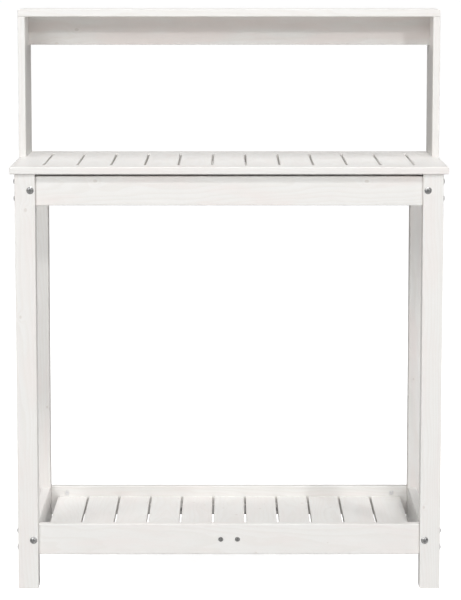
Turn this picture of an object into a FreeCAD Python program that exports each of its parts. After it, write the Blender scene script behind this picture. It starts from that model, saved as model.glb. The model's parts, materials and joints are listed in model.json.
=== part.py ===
import FreeCAD, Part
import math
import os

# A free-standing potting bench of painted wood: four square legs joined by rails at the top and
# near the floor, a slatted lower shelf inside the lower rails, a slatted table top, and a raised
# shelf along its rear edge.
#
# X runs across the bench, Y from the front (-Y) to the rear (+Y), and Z up from the floor. The
# origin is on the floor, midway across the width and the depth. All sizes are in millimetres.

# Overall size
BENCH_WIDTH = 825.0
BENCH_DEPTH = 400.0
TABLE_HEIGHT = 809.0
BENCH_HEIGHT = 1097.0

# Sections of the wood
LEG_SECTION = 38.7
BOARD_THICKNESS = 14.0
RAIL_THICKNESS = 18.0
RAIL_WIDTH = 59.5
SLAT_WIDTH = 60.0
BACK_BOARD_WIDTH = 58.0
LEG_EASING = 1.5
RAIL_EASING = 2.0
BOARD_EASING = 1.5
NOSING = 2.5

# Frame
SIDE_OVERHANG = 9.5
FRONT_OVERHANG = 5.0
RAIL_RECESS = 7.0
LOWER_RAIL_BASE = 65.5
TOP_RAIL_DROP = 4.0

# Lower shelf
LOWER_SLATS = 11
LOWER_SLAT_GAP = 4.0
LOWER_SLAT_DROP = 22.0
CLEAT_SECTION = 18.0
CLEAT_LENGTH = 640.0

# Table top
TOP_SLATS = 13
FRONT_BOARD_DEPTH = 46.0
REAR_BOARD_DEPTH = 78.0

# Raised shelf
UPRIGHT_DEPTH = 158.0
BACK_BOARD_SETBACK = 96.0

# Bolts and barrel nuts of the frame
BOLT_RADIUS = 3.0
BOLT_LENGTH = 80.0
BOLT_HOLE_RADIUS = 3.25
BOLT_HOLE_SPARE = 2.0
BOLT_HEAD_RADIUS = 6.8
BOLT_HEAD_HEIGHT = 2.4
BOLT_HEAD_RIM = 0.5
BOLT_HEAD_FLAT = 3.0
BOLT_SOCKET = 4.0
BOLT_SOCKET_DEPTH = 1.7
BOLT_SPACING = 32.0
BOLT_DROP = 0.8
NUT_RADIUS = 5.0
NUT_LENGTH = 14.0
NUT_DISTANCE = 32.0
NUT_SINK = 0.5
NUT_SLOT_WIDTH = 1.2
NUT_SLOT_DEPTH = 1.0
RUNNING_CLEARANCE = 0.05

# Wood screws and dowels
SCREW_CORE = 2.0
SCREW_HEAD = 4.0
SCREW_SINK = 0.3
SHELF_SCREW_HEAD = 4.8
SHELF_SCREW_SINK = 2.5
SCREW_RECESS_REACH = 0.6
SCREW_RECESS_WIDTH = 1.1
SCREW_RECESS_DEPTH = 1.6
SHELF_SCREW_LENGTH = 40.0
SHORT_SCREW_LENGTH = 28.0
CLEAT_SCREW_LENGTH = 30.0
BATTEN_SCREW_LENGTH = 40.0
UPRIGHT_SCREW_LENGTH = 50.0
RAISED_SCREW_LENGTH = 45.0
DOWEL_RADIUS = 4.0
DOWEL_LENGTH = 28.0
DOWEL_IN_SLAT = 9.0
WOOD_CLEARANCE = 0.1

# Places of the screws and dowels along the pieces that they hold
CLEAT_SCREWS_X = (-288.0, -96.0, 96.0, 288.0)
CLEAT_END_MARGIN = 12.0
BOARD_SCREWS_X = (-300.0, -150.0, 0.0, 150.0, 300.0)
SLAT_SCREW_SPREAD = 28.0
FRONT_BATTEN_SCREWS_Y = (-140.0, -122.0)
REAR_BATTEN_SCREWS_Y = (108.0, 136.0)
DOWELS_Y = (-90.0, 0.0, 80.0)
UPRIGHT_SCREWS_Y = (66.0, 106.0, 146.0)
RAISED_SHELF_SCREWS_Y = (66.0, 121.0, 176.0)
BACK_BOARD_SCREWS_X = (-250.0, 0.0, 250.0)
BACK_BOARD_SCREW_SPREAD = 24.0

SIDES = {"left": -1, "right": 1}
ENDS = {"front": -1, "rear": 1}
ACROSS = FreeCAD.Vector(1, 0, 0)
BACKWARD = FreeCAD.Vector(0, 1, 0)
UP = FreeCAD.Vector(0, 0, 1)
CORNER = FreeCAD.Vector(0, 0, 0)

# Planes and centre lines that several pieces share
top_half_width = BENCH_WIDTH / 2
top_half_depth = BENCH_DEPTH / 2
leg_outer_x = top_half_width - SIDE_OVERHANG
leg_inner_x = leg_outer_x - LEG_SECTION
leg_outer_y = top_half_depth - FRONT_OVERHANG
leg_inner_y = leg_outer_y - LEG_SECTION
rail_outer_y = leg_outer_y - RAIL_RECESS
rail_inner_y = rail_outer_y - RAIL_THICKNESS
rail_middle_y = rail_inner_y + RAIL_THICKNESS / 2
side_rail_outer_x = leg_inner_x + RAIL_THICKNESS
side_rail_middle_x = leg_inner_x + RAIL_THICKNESS / 2
frame_top = TABLE_HEIGHT - BOARD_THICKNESS
rail_bases = {"top": frame_top - RAIL_WIDTH, "lower": LOWER_RAIL_BASE}
lower_slat_top = LOWER_RAIL_BASE + RAIL_WIDTH - LOWER_SLAT_DROP
lower_slat_base = lower_slat_top - BOARD_THICKNESS
cleat_base = lower_slat_base - CLEAT_SECTION
cleat_inner_y = rail_inner_y - CLEAT_SECTION
batten_base = frame_top - RAIL_THICKNESS
slat_front_y = -top_half_depth + FRONT_BOARD_DEPTH
slat_rear_y = top_half_depth - REAR_BOARD_DEPTH
front_batten = (-rail_inner_y, -rail_inner_y + RAIL_WIDTH)
rear_batten = (slat_rear_y - RAIL_WIDTH / 2, slat_rear_y + RAIL_WIDTH / 2)
upright_top = BENCH_HEIGHT - BOARD_THICKNESS
upright_inner_x = top_half_width - BOARD_THICKNESS
upright_middle_x = top_half_width - BOARD_THICKNESS / 2
upright_front_y = top_half_depth - UPRIGHT_DEPTH
back_board_front_y = upright_front_y + BACK_BOARD_SETBACK
back_board_middle_y = back_board_front_y + BOARD_THICKNESS / 2
back_board_base = upright_top - BACK_BOARD_WIDTH

pieces = {}
fasteners = {}
bores = []


def at(x, y, z):
    return FreeCAD.Vector(x, y, z)


# Boards

def block(corner, opposite):
    """A sharp-edged box between two opposite corners, given in any order."""
    low = at(*(min(a, b) for a, b in zip(corner, opposite)))
    high = at(*(max(a, b) for a, b in zip(corner, opposite)))
    size = high - low
    return Part.makeBox(size.x, size.y, size.z, low)


def eased_block(corner, opposite, easing):
    """A leg or rail, with all its edges eased, so that a fine groove shows where two of them meet."""
    sharp = block(corner, opposite)
    return sharp.makeFillet(easing, sharp.Edges)


def board(corner, opposite, grain, easing):
    """A board that runs along grain, with its long edges eased and its sawn ends left square."""
    sharp = block(corner, opposite)
    long_edges = [edge for edge in sharp.Edges if abs(edge.Curve.Direction.dot(grain)) > 0.5]
    return sharp.makeFillet(easing, long_edges)


def top_slat(low_x, high_x):
    """A slat of the table top. An edge that lies at the end of the top is rounded as the end boards are."""
    slat = block((low_x, slat_front_y, frame_top), (high_x, slat_rear_y, TABLE_HEIGHT))
    for edge_x in (low_x, high_x):
        at_end = abs(edge_x) > top_half_width - 1
        edges = [edge for edge in slat.Edges if all(abs(v.X - edge_x) < 0.01 for v in edge.Vertexes)]
        along_depth = [edge for edge in edges if abs(edge.Curve.Direction.dot(BACKWARD)) > 0.5]
        slat = slat.makeFillet(NOSING if at_end else BOARD_EASING, along_depth)
    return slat


def end_board(outer_y, joint_y):
    """The front or rear board of the table top, rounded on every side but the one that meets the slats."""
    sharp = block((-top_half_width, outer_y, frame_top), (top_half_width, joint_y, TABLE_HEIGHT))
    rounded = [edge for edge in sharp.Edges if any(abs(v.Y - joint_y) > 1 for v in edge.Vertexes)]
    return sharp.makeFillet(NOSING, rounded)


def spread(count, width, gap):
    """The lower and upper bounds of equal boards laid side by side about x = 0."""
    start = -(count * width + (count - 1) * gap) / 2
    return [(start + i * (width + gap), start + i * (width + gap) + width) for i in range(count)]


# Fasteners. Each is drawn with its head up and its seat at the origin, then turned to face outward
# at its seat.

def set_in_place(shape, seat, outward):
    shape.Placement = FreeCAD.Placement(seat, FreeCAD.Rotation(UP, outward))
    return shape


def rod(radius, bottom, top):
    return Part.makeCylinder(radius, top - bottom, at(0, 0, bottom))


def turned(outline):
    """A solid of revolution about the z axis from pairs of radius and height."""
    corners = [at(radius, 0, height) for radius, height in outline]
    return Part.Face(Part.makePolygon(corners + corners[:1])).revolve(CORNER, UP, 360)


def hexagon_prism(across_flats, bottom, top):
    reach = across_flats / math.sqrt(3)
    angles = [math.radians(60 * i) for i in range(7)]
    outline = Part.makePolygon([at(reach * math.cos(a), reach * math.sin(a), bottom) for a in angles])
    return Part.Face(outline).extrude(at(0, 0, top - bottom))


def button_bolt():
    """A button-head machine screw: a shallow dome with a hexagon socket."""
    spread_squared = BOLT_HEAD_RADIUS**2 - BOLT_HEAD_FLAT**2 + BOLT_HEAD_RIM**2 - BOLT_HEAD_HEIGHT**2
    dome_centre = spread_squared / (2 * (BOLT_HEAD_RIM - BOLT_HEAD_HEIGHT))
    dome = Part.makeSphere(math.hypot(BOLT_HEAD_RADIUS, BOLT_HEAD_RIM - dome_centre), at(0, 0, dome_centre))
    head = rod(BOLT_HEAD_RADIUS, 0, BOLT_HEAD_HEIGHT).common(dome)
    socket_floor = BOLT_HEAD_HEIGHT - BOLT_SOCKET_DEPTH
    head = head.cut(hexagon_prism(BOLT_SOCKET, socket_floor, BOLT_HEAD_HEIGHT + 1))
    shank = rod(BOLT_RADIUS, -BOLT_LENGTH, 0)
    return head.fuse(shank)


def wood_screw(length, head_radius, sink):
    """A countersunk screw with a cross recess. Its head lies below the surface by sink."""
    cone_base = -sink - (head_radius - SCREW_CORE)
    body = turned([(0, -sink), (head_radius, -sink), (SCREW_CORE, cone_base),
                   (SCREW_CORE, -length + 2 * SCREW_CORE), (0, -length)])
    reach = head_radius * SCREW_RECESS_REACH
    half_width = SCREW_RECESS_WIDTH / 2
    floor = -sink - SCREW_RECESS_DEPTH
    for x, y in ((reach, half_width), (half_width, reach)):
        body = body.cut(block((-x, -y, floor), (x, y, 1)))
    return body


def screw_bore(length, head_radius, sink):
    wide = head_radius + WOOD_CLEARANCE
    narrow = SCREW_CORE + WOOD_CLEARANCE
    cone_base = -sink - (head_radius - SCREW_CORE) - WOOD_CLEARANCE
    return turned([(0, 1), (wide, 1), (wide, -sink - WOOD_CLEARANCE), (narrow, cone_base),
                   (narrow, -length - WOOD_CLEARANCE), (0, -length - WOOD_CLEARANCE)])


def add_screw(group, seat, outward, length, head_radius=SCREW_HEAD, sink=SCREW_SINK):
    screw = set_in_place(wood_screw(length, head_radius, sink), seat, outward)
    fasteners.setdefault(group, []).append(screw)
    bores.append(set_in_place(screw_bore(length, head_radius, sink), seat, outward))


def add_bolt(seat, outward, nut_face, nut_outward):
    """A bolt from seat, and its barrel nut, let into the rail from the point nut_face on its inner side."""
    fasteners.setdefault("frame_bolts", []).append(set_in_place(button_bolt(), seat, outward))
    bolt_hole = rod(BOLT_HOLE_RADIUS, -BOLT_LENGTH - BOLT_HOLE_SPARE, 1)
    bores.append(set_in_place(bolt_hole, seat, outward))
    nut = rod(NUT_RADIUS, -NUT_SINK - NUT_LENGTH, -NUT_SINK)
    nut = set_in_place(nut, nut_face, nut_outward)
    thread = set_in_place(rod(BOLT_RADIUS + RUNNING_CLEARANCE, -BOLT_LENGTH, 0), seat, outward)
    slot_reach = outward * (NUT_RADIUS + 1) + UP * (NUT_SLOT_WIDTH / 2)
    slot_floor = nut_face - nut_outward * (NUT_SINK + NUT_SLOT_DEPTH)
    slot = block(slot_floor - slot_reach, nut_face + nut_outward + slot_reach)
    fasteners.setdefault("barrel_nuts", []).append(nut.cut(thread).cut(slot))
    nut_hole = rod(NUT_RADIUS + WOOD_CLEARANCE, -NUT_SINK - NUT_LENGTH - WOOD_CLEARANCE, 1)
    bores.append(set_in_place(nut_hole, nut_face, nut_outward))


def add_frame_bolts():
    """Two bolts hold each end of a front or rear rail, and one holds each end of a side rail.
    They lie a little below the middle of the rail."""
    nut_x = leg_inner_x - NUT_DISTANCE
    nut_y = leg_inner_y - NUT_DISTANCE
    for rail_base in rail_bases.values():
        middle = rail_base + RAIL_WIDTH / 2 - BOLT_DROP
        for side in SIDES.values():
            for end in ENDS.values():
                for z in (middle - BOLT_SPACING / 2, middle + BOLT_SPACING / 2):
                    seat = at(side * leg_outer_x, end * rail_middle_y, z)
                    nut_face = at(side * nut_x, end * rail_inner_y, z)
                    add_bolt(seat, ACROSS * side, nut_face, BACKWARD * -end)
                seat = at(side * side_rail_middle_x, end * leg_outer_y, middle)
                nut_face = at(side * leg_inner_x, end * nut_y, middle)
                add_bolt(seat, BACKWARD * end, nut_face, ACROSS * -side)


def add_lower_shelf_screws():
    screw_line_z = LOWER_RAIL_BASE + RAIL_WIDTH / 2 - BOLT_DROP
    cleat_middle_y = (rail_inner_y + cleat_inner_y) / 2
    last_screw_x = CLEAT_LENGTH / 2 - CLEAT_END_MARGIN
    for end in ENDS.values():
        for x in (-BOLT_SPACING / 2, BOLT_SPACING / 2):
            add_screw("middle_slat_screws", at(x, end * rail_outer_y, screw_line_z), BACKWARD * end,
                      SHELF_SCREW_LENGTH, SHELF_SCREW_HEAD, SHELF_SCREW_SINK)
        for x in CLEAT_SCREWS_X:
            add_screw("cleat_screws", at(x, end * cleat_inner_y, cleat_base + CLEAT_SECTION / 2),
                      BACKWARD * -end, CLEAT_SCREW_LENGTH)
        for low_x, high_x in lower_slats:
            x = max(-last_screw_x, min(last_screw_x, (low_x + high_x) / 2))
            add_screw("lower_slat_screws", at(x, end * cleat_middle_y, cleat_base), -UP, SHORT_SCREW_LENGTH)


def add_table_top_screws():
    """Screws from below, up through the battens. The two outer slats are held by dowels instead."""
    front_board_y = (front_batten[0] + slat_front_y) / 2
    front_slat_y = (slat_front_y + front_batten[1]) / 2
    rear_slat_y = (rear_batten[0] + slat_rear_y) / 2
    rear_board_y = (slat_rear_y + rear_batten[1]) / 2
    slat_screws_x = []
    for low_x, high_x in top_slats[1:-1]:
        middle = (low_x + high_x) / 2
        slat_screws_x += [middle - SLAT_SCREW_SPREAD / 2, middle + SLAT_SCREW_SPREAD / 2]
    rows = ((front_board_y, BOARD_SCREWS_X), (front_slat_y, slat_screws_x),
            (rear_slat_y, slat_screws_x), (rear_board_y, BOARD_SCREWS_X))
    for y, places in rows:
        for x in places:
            add_screw("table_top_screws", at(x, y, batten_base), -UP, SHORT_SCREW_LENGTH)
    batten_middle = batten_base + RAIL_THICKNESS / 2
    for side in SIDES.values():
        for y in FRONT_BATTEN_SCREWS_Y + REAR_BATTEN_SCREWS_Y:
            add_screw("batten_end_screws", at(side * side_rail_outer_x, y, batten_middle), ACROSS * side,
                      BATTEN_SCREW_LENGTH)


def add_dowels():
    for side in SIDES.values():
        for y in DOWELS_Y:
            seat = at(side * side_rail_middle_x, y, frame_top + DOWEL_IN_SLAT)
            dowel = set_in_place(rod(DOWEL_RADIUS, -DOWEL_LENGTH, 0), seat, UP)
            fasteners.setdefault("table_top_dowels", []).append(dowel.makeFillet(1, dowel.Edges))
            hole = rod(DOWEL_RADIUS + WOOD_CLEARANCE, -DOWEL_LENGTH - WOOD_CLEARANCE, WOOD_CLEARANCE)
            bores.append(set_in_place(hole, seat, UP))


def add_raised_shelf_screws():
    back_board_middle_z = back_board_base + BACK_BOARD_WIDTH / 2
    for side in SIDES.values():
        for y in UPRIGHT_SCREWS_Y:
            add_screw("upright_screws", at(side * upright_middle_x, y, frame_top), -UP,
                      UPRIGHT_SCREW_LENGTH)
        for y in RAISED_SHELF_SCREWS_Y:
            add_screw("raised_shelf_screws", at(side * upright_middle_x, y, BENCH_HEIGHT), UP,
                      RAISED_SCREW_LENGTH)
        for rise in (-BACK_BOARD_SCREW_SPREAD / 2, BACK_BOARD_SCREW_SPREAD / 2):
            seat = at(side * top_half_width, back_board_middle_y, back_board_middle_z + rise)
            add_screw("back_board_screws", seat, ACROSS * side, RAISED_SCREW_LENGTH)
    for x in BACK_BOARD_SCREWS_X:
        add_screw("raised_shelf_screws", at(x, back_board_middle_y, BENCH_HEIGHT), UP, RAISED_SCREW_LENGTH)


# Sub-assemblies

def build_frame():
    for side_name, side in SIDES.items():
        for end_name, end in ENDS.items():
            inner = (side * leg_inner_x, end * leg_inner_y, 0)
            outer = (side * leg_outer_x, end * leg_outer_y, frame_top)
            pieces[f"{end_name}_{side_name}_leg"] = eased_block(inner, outer, LEG_EASING)
    for level, base in rail_bases.items():
        top = base + RAIL_WIDTH
        long_rail_top = min(top, frame_top - TOP_RAIL_DROP)
        for end_name, end in ENDS.items():
            inner = (-leg_inner_x, end * rail_inner_y, base)
            outer = (leg_inner_x, end * rail_outer_y, long_rail_top)
            pieces[f"{level}_{end_name}_rail"] = eased_block(inner, outer, RAIL_EASING)
        for side_name, side in SIDES.items():
            inner = (side * leg_inner_x, -leg_inner_y, base)
            outer = (side * side_rail_outer_x, leg_inner_y, top)
            pieces[f"{level}_{side_name}_rail"] = eased_block(inner, outer, RAIL_EASING)


def build_lower_shelf():
    for end_name, end in ENDS.items():
        pieces[f"{end_name}_cleat"] = board(
            (-CLEAT_LENGTH / 2, end * cleat_inner_y, cleat_base),
            (CLEAT_LENGTH / 2, end * rail_inner_y, lower_slat_base), ACROSS, BOARD_EASING)
    for i, (low_x, high_x) in enumerate(lower_slats, start=1):
        pieces[f"lower_slat_{i:02d}"] = board(
            (low_x, -rail_inner_y, lower_slat_base), (high_x, rail_inner_y, lower_slat_top),
            BACKWARD, BOARD_EASING)


def build_table_top():
    pieces["table_front_board"] = end_board(-top_half_depth, slat_front_y)
    pieces["table_rear_board"] = end_board(top_half_depth, slat_rear_y)
    for i, (low_x, high_x) in enumerate(top_slats, start=1):
        pieces[f"table_slat_{i:02d}"] = top_slat(low_x, high_x)
    for name, (low_y, high_y) in {"front_batten": front_batten, "rear_batten": rear_batten}.items():
        pieces[name] = board((-leg_inner_x, low_y, batten_base), (leg_inner_x, high_y, frame_top),
                             ACROSS, BOARD_EASING)


def build_raised_shelf():
    for side_name, side in SIDES.items():
        pieces[f"{side_name}_upright"] = board(
            (side * upright_inner_x, upright_front_y, TABLE_HEIGHT),
            (side * top_half_width, top_half_depth, upright_top), UP, BOARD_EASING)
    shelf = block((-top_half_width, upright_front_y, upright_top),
                  (top_half_width, top_half_depth, BENCH_HEIGHT))
    seams = [edge for edge in shelf.Edges if all(v.Z < upright_top + 1 for v in edge.Vertexes)]
    seams = [edge for edge in seams if abs(edge.Curve.Direction.dot(BACKWARD)) > 0.5]
    rounded = [edge for edge in shelf.Edges if not any(edge.isSame(seam) for seam in seams)]
    pieces["raised_shelf_board"] = shelf.makeFillet(BOARD_EASING, rounded)
    pieces["back_board"] = board(
        (-upright_inner_x, back_board_front_y, back_board_base),
        (upright_inner_x, back_board_front_y + BOARD_THICKNESS, upright_top), ACROSS, BOARD_EASING)


def drilled(piece):
    """The piece with every bore that reaches it cut away."""
    for bore in bores:
        if piece.BoundBox.intersect(bore.BoundBox):
            piece = piece.cut(bore)
    return piece.Solids[0]


lower_slats = spread(LOWER_SLATS, SLAT_WIDTH, LOWER_SLAT_GAP)
top_slat_gap = (BENCH_WIDTH - TOP_SLATS * SLAT_WIDTH) / (TOP_SLATS - 1)
top_slats = spread(TOP_SLATS, SLAT_WIDTH, top_slat_gap)

build_frame()
build_lower_shelf()
build_table_top()
build_raised_shelf()
add_frame_bolts()
add_lower_shelf_screws()
add_table_top_screws()
add_dowels()
add_raised_shelf_screws()

os.makedirs("parts", exist_ok=True)
for name, piece in pieces.items():
    drilled(piece).exportStep(f"parts/{name}.step")
for name, group in fasteners.items():
    Part.makeCompound(group).exportStep(f"parts/{name}.step")

print(len(pieces), "wooden pieces and", len(fasteners), "groups of fasteners")
for name, group in fasteners.items():
    print(f"{name}: {len(group)}")
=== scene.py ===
import json
import math
import random

import bpy
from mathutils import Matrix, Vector


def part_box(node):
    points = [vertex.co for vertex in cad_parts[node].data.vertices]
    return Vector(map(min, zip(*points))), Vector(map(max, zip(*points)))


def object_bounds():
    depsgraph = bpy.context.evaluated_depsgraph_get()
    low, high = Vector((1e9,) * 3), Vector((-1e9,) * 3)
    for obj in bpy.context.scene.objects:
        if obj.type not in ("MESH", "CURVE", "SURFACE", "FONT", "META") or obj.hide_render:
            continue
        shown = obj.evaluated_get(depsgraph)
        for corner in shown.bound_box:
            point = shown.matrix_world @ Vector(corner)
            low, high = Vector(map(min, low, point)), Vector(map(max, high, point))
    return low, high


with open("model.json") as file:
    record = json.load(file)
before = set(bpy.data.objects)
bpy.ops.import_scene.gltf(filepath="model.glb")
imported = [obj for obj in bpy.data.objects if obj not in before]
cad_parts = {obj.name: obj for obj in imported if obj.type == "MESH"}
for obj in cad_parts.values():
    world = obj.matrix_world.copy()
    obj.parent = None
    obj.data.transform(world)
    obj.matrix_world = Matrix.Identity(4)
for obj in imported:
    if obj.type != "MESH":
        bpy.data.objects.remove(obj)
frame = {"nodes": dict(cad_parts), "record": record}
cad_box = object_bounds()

MM = 0.001
X_AXIS = (1.0, 0.0, 0.0)
Y_AXIS = (0.0, 1.0, 0.0)
Z_AXIS = (0.0, 0.0, 1.0)

# Camera
SENSOR_WIDTH = 36.0
CAMERA_DISTANCE = 4.9          # from the front edge of the table top
CAMERA_HEIGHT = 1.211
CAMERA_PITCH = math.radians(7.59)
CAMERA_YAW = 0.000555
LENS = 157.4

# Lights: name, azimuth and elevation in degrees, distance and size in metres, and power in watts. The
# azimuth is from straight in front towards +X. All point at AIM.
AIM = Vector((0.0, 0.0, 0.45))
LIGHTS = (
    ("high_light", 8.0, 55.0, 8.0, 1.1, 262.0),
    ("front_left_light", -30.0, 26.0, 8.0, 3.2, 243.0),
    ("front_right_light", 31.0, 21.4, 8.0, 0.35, 110.0),
    ("left_light", -90.0, 55.0, 4.0, 2.0, 40.0),
    ("right_light", 90.0, 30.0, 4.0, 2.0, 54.0),
    ("rear_light", 180.0, 40.0, 4.0, 2.0, 32.0),
)
AMBIENT = 0.01

# Floor: how much of the light it sends back, as the camera sees it and as the bench does, and its glow
# for the camera, which rises to 1 between two distances from the bench
FLOOR_REACH = 60.0
FLOOR_SEEN = 0.92
FLOOR_BOUNCE = 0.72
FLOOR_ROUGHNESS = 0.9
FLOOR_GLOW = 0.88
FLOOR_GLOW_FROM = 0.4
FLOOR_GLOW_TO = 2.0

# Paint over the wood, and what shows through it
PAINT = (0.835, 0.825, 0.805)
# The stained colour is both a resin stain and a painted warm tint of shade
PAINT_OVER_LATEWOOD = (0.800, 0.780, 0.750)
PAINT_STAINED_AND_SHADE_TINT = (0.830, 0.775, 0.750)
PAINT_OVER_KNOT = (0.60, 0.55, 0.50)
PAINT_AT_EDGE = (0.76, 0.74, 0.70)
LATEWOOD_TINT = 0.62
FIBRE_TINT = 0.20
PORE_TINT = 0.16
KNOT_TINT = 0.42
EDGE_TINT = 0.7
SAWN_END_TINT = 0.35
WOOD_SPECULAR = 0.45
WOOD_BUMP = 0.25 * MM
WOOD_BUMP_STRENGTH = 0.5

# Growth rings and knots
RING_SPACING = 4.2 * MM
RING_WANDER = 30.0 * MM
RING_TAPER = 0.018
KNOT_RADIUS = 3.0 * MM
KNOT_LENGTHENING = 0.5
KNOT_BULGE = 2.4               # in knot radii
KNOT_FALLOFF = 0.12

# How fine each pattern in the wood is, along the grain and across it twice, in cycles per metre
WANDER_SCALE = (3.0, 14.0, 14.0)
FIBRE_SCALE = (22.0, 700.0, 700.0)
PORE_SCALE = (160.0, 1500.0, 1500.0)
STAIN_AND_SHADE_SCALE = (5.0, 22.0, 22.0)
BRUSH_SCALE = (7.0, 170.0, 170.0)
RUB_SCALE = (30.0, 120.0, 120.0)

# Metals: name, darkest and lightest grey, and least and greatest roughness
ZINC_PLATING = ("zinc_plating", 0.22, 0.46, 0.31, 0.43)
CAST_ZINC = ("cast_zinc", 0.74, 0.88, 0.52, 0.64)
ZINC_CLOUD_SCALE = 420.0
ZINC_SCRATCH_SCALE = (900.0, 5200.0, 1700.0)
ZINC_BUMP = 0.05 * MM

# Bare hardwood of the dowels
HARDWOOD_DARK = (0.52, 0.36, 0.21)
HARDWOOD_LIGHT = (0.68, 0.52, 0.34)
HARDWOOD_FLECK = (0.36, 0.22, 0.12)
HARDWOOD_BAND_SCALE = (420.0, 420.0, 16.0)
HARDWOOD_FLECK_SCALE = (2400.0, 2400.0, 260.0)
HARDWOOD_BUMP = 0.1 * MM

FINE_BUMP_STRENGTH = 0.4       # of the metals and the bare wood
SHARP_ANGLE = 35.0
GRAIN_SEED = 5

nodes = frame["nodes"]
SLOTS = {part["node"]: part["material_slot"] for part in frame["record"]["subparts"]}

# Knots that show most: piece, then the place of each as parts of the piece's half length and half width
PLACED_KNOTS = {
    "top_front_rail": ((-0.69, 0.67), (0.71, 0.65)),
    "back_board": ((-0.76, 0.03), (-0.86, -0.92)),
}

# Pieces on which the warm stain tint is painted strongest: on these it is partly a painted warm tint of
# shade, laid over the resin stain that every piece gets
PIECE_STAIN_AND_SHADE_TINT = {"back_board": 1.0, "top_front_rail": 0.9, "rear_left_leg": 0.8, "rear_right_leg": 0.8}


# Node-tree helpers

def add_node(tree, kind, **settings):
    node = tree.nodes.new(kind)
    for name, value in settings.items():
        setattr(node, name, value)
    return node


def feed(tree, socket, source):
    """Link source into socket if it is an output, and otherwise set it as the socket's value."""
    if isinstance(source, bpy.types.NodeSocket):
        tree.links.new(source, socket)
    else:
        socket.default_value = source


def math_node(tree, operation, a, b=0.0, c=0.0):
    node = add_node(tree, "ShaderNodeMath", operation=operation)
    for socket, source in zip(node.inputs, (a, b, c)):
        feed(tree, socket, source)
    return node.outputs[0]


def vector_node(tree, operation, a, b=(0.0, 0.0, 0.0)):
    node = add_node(tree, "ShaderNodeVectorMath", operation=operation)
    feed(tree, node.inputs[0], a)
    feed(tree, node.inputs[1], b)
    return node.outputs["Value" if operation in ("DOT_PRODUCT", "LENGTH") else "Vector"]


def noise_node(tree, vector, scale, detail=2.0, roughness=0.5):
    node = add_node(tree, "ShaderNodeTexNoise")
    feed(tree, node.inputs["Vector"], vector)
    feed(tree, node.inputs["Scale"], scale)
    feed(tree, node.inputs["Detail"], detail)
    feed(tree, node.inputs["Roughness"], roughness)
    return node.outputs["Fac"]


def remap(tree, value, low, high, new_low=0.0, new_high=1.0):
    node = add_node(tree, "ShaderNodeMapRange", interpolation_type="SMOOTHSTEP")
    for name, source in (("Value", value), ("From Min", low), ("From Max", high),
                         ("To Min", new_low), ("To Max", new_high)):
        feed(tree, node.inputs[name], source)
    return node.outputs["Result"]


def mix_colour(tree, factor, a, b):
    node = add_node(tree, "ShaderNodeMix", data_type="RGBA")
    feed(tree, node.inputs["Factor"], factor)
    feed(tree, node.inputs["A"], a)
    feed(tree, node.inputs["B"], b)
    return node.outputs["Result"]


# Camera, lights and studio

def scene_light(name, azimuth, elevation, distance, size, power):
    data = bpy.data.lights.new(name, "AREA")
    data.shape = "SQUARE"
    data.size = size
    data.energy = power
    lamp = bpy.data.objects.new(name, data)
    turn = math.radians(azimuth)
    rise = math.radians(elevation)
    outward = Vector((math.sin(turn) * math.cos(rise), -math.cos(turn) * math.cos(rise), math.sin(rise)))
    lamp.location = AIM + outward * distance
    lamp.rotation_mode = "QUATERNION"
    lamp.rotation_quaternion = (-outward).to_track_quat("-Z", "Y")
    bpy.context.scene.collection.objects.link(lamp)


def make_camera():
    low, high = cad_box
    data = bpy.data.cameras.new("camera")
    data.sensor_width = SENSOR_WIDTH
    data.lens = LENS
    camera = bpy.data.objects.new("camera", data)
    camera.location = ((low.x + high.x) / 2, low.y - CAMERA_DISTANCE, CAMERA_HEIGHT)
    camera.rotation_euler = (math.pi / 2 - CAMERA_PITCH, 0.0, -CAMERA_YAW)
    bpy.context.scene.collection.objects.link(camera)
    bpy.context.scene.camera = camera


def make_world():
    """A white studio. It looks white, but lights the object only faintly, which leaves that to the lamps."""
    world = bpy.data.worlds.new("studio")
    bpy.context.scene.world = world
    world.use_nodes = True
    tree = world.node_tree
    background = tree.nodes["Background"]
    path = add_node(tree, "ShaderNodeLightPath")
    strength = math_node(tree, "MAXIMUM", path.outputs["Is Camera Ray"], AMBIENT)
    background.inputs["Color"].default_value = (1.0, 1.0, 1.0, 1.0)
    feed(tree, background.inputs["Strength"], strength)


def make_floor():
    """A floor that looks white to the camera, but sends the bench less light than that."""
    mesh = bpy.data.meshes.new("floor")
    reach = FLOOR_REACH
    corners = [(-reach, -reach, 0), (reach, -reach, 0), (reach, reach, 0), (-reach, reach, 0)]
    mesh.from_pydata(corners, [], [(0, 1, 2, 3)])
    floor = bpy.data.objects.new("floor", mesh)
    bpy.context.scene.collection.objects.link(floor)
    material = bpy.data.materials.new("floor")
    material.use_nodes = True
    tree = material.node_tree
    shader = tree.nodes["Principled BSDF"]
    path = add_node(tree, "ShaderNodeLightPath")
    seen = path.outputs["Is Camera Ray"]
    shade = mix_colour(tree, seen, (FLOOR_BOUNCE,) * 3 + (1.0,), (FLOOR_SEEN,) * 3 + (1.0,))
    feed(tree, shader.inputs["Base Color"], shade)
    shader.inputs["Roughness"].default_value = FLOOR_ROUGHNESS
    shader.inputs["Specular IOR Level"].default_value = 0.0
    shader.inputs["Emission Color"].default_value = (1.0, 1.0, 1.0, 1.0)
    place = add_node(tree, "ShaderNodeTexCoord").outputs["Object"]
    distance = vector_node(tree, "LENGTH", place)
    glow = remap(tree, distance, FLOOR_GLOW_FROM, FLOOR_GLOW_TO, FLOOR_GLOW, 1.0)
    feed(tree, shader.inputs["Emission Strength"], math_node(tree, "MULTIPLY", seen, glow))
    mesh.materials.append(material)


# Wood. The group works in a board's own directions, so that its growth rings run along each piece and go
# right through it. Lengths are in metres.

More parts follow.
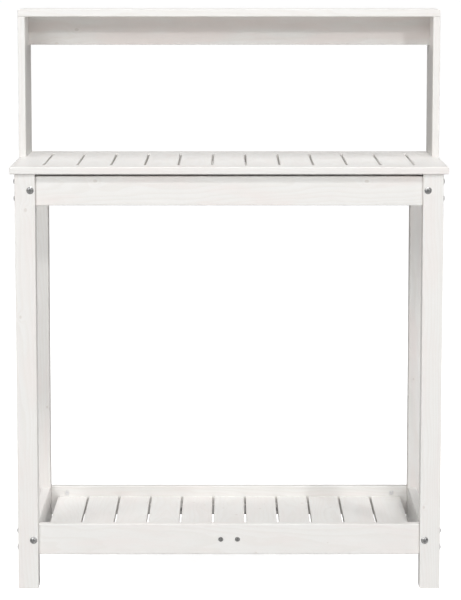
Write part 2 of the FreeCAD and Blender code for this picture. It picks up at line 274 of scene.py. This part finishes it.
def knot_field(tree, along, across, knot):
    """How far a knot pushes the rings out, and a mask of the knot itself."""
    split = add_node(tree, "ShaderNodeSeparateXYZ")
    feed(tree, split.inputs[0], knot)
    knot_along, knot_across, radius = split.outputs
    offset_along = math_node(tree, "SUBTRACT", along, knot_along)
    offset_across = math_node(tree, "SUBTRACT", across, knot_across)
    square_along = math_node(tree, "MULTIPLY", offset_along, offset_along)
    square_across = math_node(tree, "MULTIPLY", offset_across, offset_across)
    squares = math_node(tree, "MULTIPLY_ADD", square_along, KNOT_LENGTHENING, square_across)
    distance = math_node(tree, "SQRT", squares)
    ratio = math_node(tree, "DIVIDE", distance, math_node(tree, "MAXIMUM", radius, 0.0001))
    square_ratio = math_node(tree, "POWER", ratio, 2.0)
    nearness = math_node(tree, "EXPONENT", math_node(tree, "MULTIPLY", square_ratio, -KNOT_FALLOFF))
    push = math_node(tree, "MULTIPLY", nearness, math_node(tree, "MULTIPLY", radius, KNOT_BULGE))
    mask = remap(tree, ratio, 1.15, 0.75)
    return push, mask


def painted_pine():
    """The node group of all painted wood."""
    tree = bpy.data.node_groups.new("painted_pine", "ShaderNodeTree")
    for name in ("Centre", "Half size", "Along", "Across", "Pith", "Knot A", "Knot B"):
        tree.interface.new_socket(name, in_out="INPUT", socket_type="NodeSocketVector")
    tree.interface.new_socket("Stain and shade tint", in_out="INPUT", socket_type="NodeSocketFloat")
    tree.interface.new_socket("Colour", in_out="OUTPUT", socket_type="NodeSocketColor")
    tree.interface.new_socket("Roughness", in_out="OUTPUT", socket_type="NodeSocketFloat")
    tree.interface.new_socket("Height", in_out="OUTPUT", socket_type="NodeSocketFloat")
    given = add_node(tree, "NodeGroupInput").outputs
    result = add_node(tree, "NodeGroupOutput").inputs

    # Place in the board's own directions
    object_place = add_node(tree, "ShaderNodeTexCoord").outputs["Object"]
    place = vector_node(tree, "SUBTRACT", object_place, given["Centre"])
    through_axis = vector_node(tree, "CROSS_PRODUCT", given["Along"], given["Across"])
    along = vector_node(tree, "DOT_PRODUCT", place, given["Along"])
    across = vector_node(tree, "DOT_PRODUCT", place, given["Across"])
    through = vector_node(tree, "DOT_PRODUCT", place, through_axis)
    pith = add_node(tree, "ShaderNodeSeparateXYZ")
    feed(tree, pith.inputs[0], given["Pith"])
    pith_across, pith_through, seed = pith.outputs
    grain = add_node(tree, "ShaderNodeCombineXYZ")
    feed(tree, grain.inputs[0], math_node(tree, "ADD", along, seed))
    feed(tree, grain.inputs[1], across)
    feed(tree, grain.inputs[2], math_node(tree, "ADD", through, seed))
    grain = grain.outputs[0]

    # Growth rings: distance from the pith, which wanders, tapers along the trunk and bulges around the knots
    slow = noise_node(tree, vector_node(tree, "MULTIPLY", grain, WANDER_SCALE), 1.0, 3.0)
    wander = math_node(tree, "MULTIPLY", math_node(tree, "SUBTRACT", slow, 0.5), RING_WANDER)
    side = math_node(tree, "ADD", across, pith_across)
    depth = math_node(tree, "ADD", through, pith_through)
    squares = math_node(tree, "MULTIPLY_ADD", side, side, math_node(tree, "MULTIPLY", depth, depth))
    radius = math_node(tree, "ADD", math_node(tree, "SQRT", squares), wander)
    radius = math_node(tree, "MULTIPLY_ADD", along, RING_TAPER, radius)
    push_a, knot_a = knot_field(tree, along, across, given["Knot A"])
    push_b, knot_b = knot_field(tree, along, across, given["Knot B"])
    radius = math_node(tree, "ADD", radius, math_node(tree, "ADD", push_a, push_b))
    knots = math_node(tree, "MAXIMUM", knot_a, knot_b)
    phase = math_node(tree, "FRACT", math_node(tree, "DIVIDE", radius, RING_SPACING))
    latewood = math_node(tree, "MULTIPLY", remap(tree, phase, 0.30, 0.88), remap(tree, phase, 1.0, 0.90))

    # Fibres, short pores, and stains, which also carry a painted warm tint of shade
    fibres = noise_node(tree, vector_node(tree, "MULTIPLY", grain, FIBRE_SCALE), 1.0, 3.0, 0.6)
    pores = noise_node(tree, vector_node(tree, "MULTIPLY", grain, PORE_SCALE), 1.0, 1.0)
    pores = remap(tree, pores, 0.64, 0.76)
    stain_and_shade_blotches = noise_node(tree, vector_node(tree, "MULTIPLY", grain, STAIN_AND_SHADE_SCALE), 1.0, 3.0, 0.55)
    brush = noise_node(tree, vector_node(tree, "MULTIPLY", grain, BRUSH_SCALE), 1.0, 2.0)

    # Long edges, where paint thins, and sawn ends, which drink it
    half = add_node(tree, "ShaderNodeSeparateXYZ")
    feed(tree, half.inputs[0], given["Half size"])
    inset_across = math_node(tree, "SUBTRACT", half.outputs[1], math_node(tree, "ABSOLUTE", across))
    inset_through = math_node(tree, "SUBTRACT", half.outputs[2], math_node(tree, "ABSOLUTE", through))
    inset = math_node(tree, "MAXIMUM", inset_across, inset_through)
    rub = noise_node(tree, vector_node(tree, "MULTIPLY", grain, RUB_SCALE), 1.0, 3.0)
    edge = math_node(tree, "MULTIPLY", remap(tree, inset, 1.5 * MM, 0.5 * MM), remap(tree, rub, 0.48, 0.66))
    normal = add_node(tree, "ShaderNodeNewGeometry").outputs["Normal"]
    facing = math_node(tree, "ABSOLUTE", vector_node(tree, "DOT_PRODUCT", normal, given["Along"]))
    sawn = remap(tree, facing, 0.85, 0.95)

    ring_tint = math_node(tree, "MULTIPLY", latewood, LATEWOOD_TINT)
    colour = mix_colour(tree, ring_tint, (*PAINT, 1.0), (*PAINT_OVER_LATEWOOD, 1.0))
    # Stain tint: the resin stain, and on the most tinted pieces a painted warm tint of shade
    stain_and_shade_mix = math_node(tree, "MULTIPLY", remap(tree, stain_and_shade_blotches, 0.42, 0.66), given["Stain and shade tint"])
    colour = mix_colour(tree, stain_and_shade_mix, colour, (*PAINT_STAINED_AND_SHADE_TINT, 1.0))
    fibre_tint = remap(tree, fibres, 0.35, 0.70, 0.0, FIBRE_TINT)
    colour = mix_colour(tree, fibre_tint, colour, (*PAINT_OVER_LATEWOOD, 1.0))
    for mask, strength, paint in ((pores, PORE_TINT, PAINT_OVER_KNOT), (knots, KNOT_TINT, PAINT_OVER_KNOT),
                                  (edge, EDGE_TINT, PAINT_AT_EDGE),
                                  (sawn, SAWN_END_TINT, PAINT_OVER_LATEWOOD)):
        colour = mix_colour(tree, math_node(tree, "MULTIPLY", mask, strength), colour, (*paint, 1.0))
    feed(tree, result["Colour"], colour)

    roughness = math_node(tree, "MULTIPLY_ADD", brush, 0.10, 0.40)
    roughness = math_node(tree, "MULTIPLY_ADD", latewood, -0.05, roughness)
    roughness = math_node(tree, "MULTIPLY_ADD", sawn, 0.12, roughness)
    feed(tree, result["Roughness"], math_node(tree, "MULTIPLY_ADD", edge, 0.10, roughness))

    height = math_node(tree, "MULTIPLY_ADD", latewood, 0.45, math_node(tree, "MULTIPLY", fibres, 0.50))
    height = math_node(tree, "MULTIPLY_ADD", brush, 0.40, height)
    height = math_node(tree, "MULTIPLY_ADD", knots, 0.60, height)
    feed(tree, result["Height"], math_node(tree, "MULTIPLY_ADD", pores, -0.35, height))
    return tree


def board_axes(size):
    """The directions of a board's length and width."""
    order = sorted(range(3), key=lambda i: (-round(size[i], 4), i))
    axes = (X_AXIS, Y_AXIS, Z_AXIS)
    return order, axes[order[0]], axes[order[1]]


def painted_material(name, group, chance):
    """The painted wood of one piece, with its own pith, knots and stain; on some pieces the stain is partly
    a painted warm tint of shade.
    """
    low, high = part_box(name)
    size = high - low
    order, along, across = board_axes(size)
    half = tuple(size[i] / 2 for i in order)
    material = bpy.data.materials.new(f"painted_{name}")
    material.use_nodes = True
    tree = material.node_tree
    wood = add_node(tree, "ShaderNodeGroup", node_tree=group)
    feed(tree, wood.inputs["Centre"], tuple((low + high) / 2))
    feed(tree, wood.inputs["Half size"], half)
    feed(tree, wood.inputs["Along"], along)
    feed(tree, wood.inputs["Across"], across)
    pith = (chance.uniform(-0.03, 0.03), chance.uniform(0.03, 0.07), chance.uniform(0.0, 9.0))
    feed(tree, wood.inputs["Pith"], pith)
    places = [(chance.uniform(-0.9, 0.9), chance.uniform(-0.9, 0.9)) for _ in range(2)]
    radii = [KNOT_RADIUS * chance.uniform(0.3, 1.0) for _ in range(2)]
    if name in PLACED_KNOTS:
        places = PLACED_KNOTS[name]
        radii = [KNOT_RADIUS] * 2
    for socket, place, radius in zip(("Knot A", "Knot B"), places, radii):
        feed(tree, wood.inputs[socket], (place[0] * half[0], place[1] * half[1], radius))
    # Stain amount: random resin stain, or a stronger listed amount that is partly a painted warm tint of
    # shade
    feed(tree, wood.inputs["Stain and shade tint"], PIECE_STAIN_AND_SHADE_TINT.get(name, chance.uniform(0.15, 0.6)))
    shader = tree.nodes["Principled BSDF"]
    feed(tree, shader.inputs["Base Color"], wood.outputs["Colour"])
    feed(tree, shader.inputs["Roughness"], wood.outputs["Roughness"])
    shader.inputs["Specular IOR Level"].default_value = WOOD_SPECULAR
    add_bump(tree, shader, wood.outputs["Height"], WOOD_BUMP, WOOD_BUMP_STRENGTH)
    return material


def add_bump(tree, shader, height, distance, strength):
    bump = add_node(tree, "ShaderNodeBump")
    bump.inputs["Strength"].default_value = strength
    bump.inputs["Distance"].default_value = distance
    feed(tree, bump.inputs["Height"], height)
    feed(tree, shader.inputs["Normal"], bump.outputs["Normal"])


def zinc_material(name, dark, light, smooth, rough):
    """Zinc plating or die-cast zinc, cloudy and lightly scratched."""
    material = bpy.data.materials.new(name)
    material.use_nodes = True
    tree = material.node_tree
    place = add_node(tree, "ShaderNodeTexCoord").outputs["Object"]
    clouds = noise_node(tree, place, ZINC_CLOUD_SCALE, 3.0, 0.6)
    scratches = noise_node(tree, vector_node(tree, "MULTIPLY", place, ZINC_SCRATCH_SCALE), 1.0, 2.0)
    dark_zinc = (dark, dark, dark * 1.03, 1.0)
    light_zinc = (light, light, light * 0.97, 1.0)
    colour = mix_colour(tree, remap(tree, clouds, 0.35, 0.65), dark_zinc, light_zinc)
    colour = mix_colour(tree, remap(tree, scratches, 0.62, 0.72, 0.0, 0.4), colour, dark_zinc)
    shader = tree.nodes["Principled BSDF"]
    shader.inputs["Metallic"].default_value = 1.0
    feed(tree, shader.inputs["Base Color"], colour)
    feed(tree, shader.inputs["Roughness"], remap(tree, clouds, 0.3, 0.7, smooth, rough))
    add_bump(tree, shader, math_node(tree, "ADD", clouds, scratches), ZINC_BUMP, FINE_BUMP_STRENGTH)
    return material


def bare_wood_material():
    """Unpainted hardwood with straight grain, for the dowels, which stand upright."""
    material = bpy.data.materials.new("bare_wood")
    material.use_nodes = True
    tree = material.node_tree
    place = add_node(tree, "ShaderNodeTexCoord").outputs["Object"]
    bands = noise_node(tree, vector_node(tree, "MULTIPLY", place, HARDWOOD_BAND_SCALE), 1.0, 3.0)
    flecks = noise_node(tree, vector_node(tree, "MULTIPLY", place, HARDWOOD_FLECK_SCALE), 1.0, 2.0)
    light_bands = remap(tree, bands, 0.35, 0.65)
    colour = mix_colour(tree, light_bands, (*HARDWOOD_DARK, 1.0), (*HARDWOOD_LIGHT, 1.0))
    colour = mix_colour(tree, remap(tree, flecks, 0.6, 0.72, 0.0, 0.5), colour, (*HARDWOOD_FLECK, 1.0))
    shader = tree.nodes["Principled BSDF"]
    feed(tree, shader.inputs["Base Color"], colour)
    feed(tree, shader.inputs["Roughness"], remap(tree, bands, 0.3, 0.7, 0.55, 0.7))
    add_bump(tree, shader, math_node(tree, "ADD", bands, flecks), HARDWOOD_BUMP, FINE_BUMP_STRENGTH)
    return material


def dress_nodes():
    """Give every CAD piece its material, and smooth shading that stays crisp at real corners."""
    chance = random.Random(GRAIN_SEED)
    pine = painted_pine()
    plated = zinc_material(*ZINC_PLATING)
    cast = zinc_material(*CAST_ZINC)
    bare = bare_wood_material()
    for name in sorted(nodes):
        thing = nodes[name]
        if name == "barrel_nuts":
            material = cast
        elif SLOTS[name] == "zinc_plated_steel":
            material = plated
        elif SLOTS[name] == "bare_wood":
            material = bare
        else:
            material = painted_material(name, pine, chance)
        thing.data.materials.clear()
        thing.data.materials.append(material)
        for polygon in thing.data.polygons:
            polygon.use_smooth = True
        thing.data.set_sharp_from_angle(angle=math.radians(SHARP_ANGLE))


make_camera()
make_world()
make_floor()
for light in LIGHTS:
    scene_light(*light)
dress_nodes()
bpy.context.scene.view_settings.view_transform = "Standard"
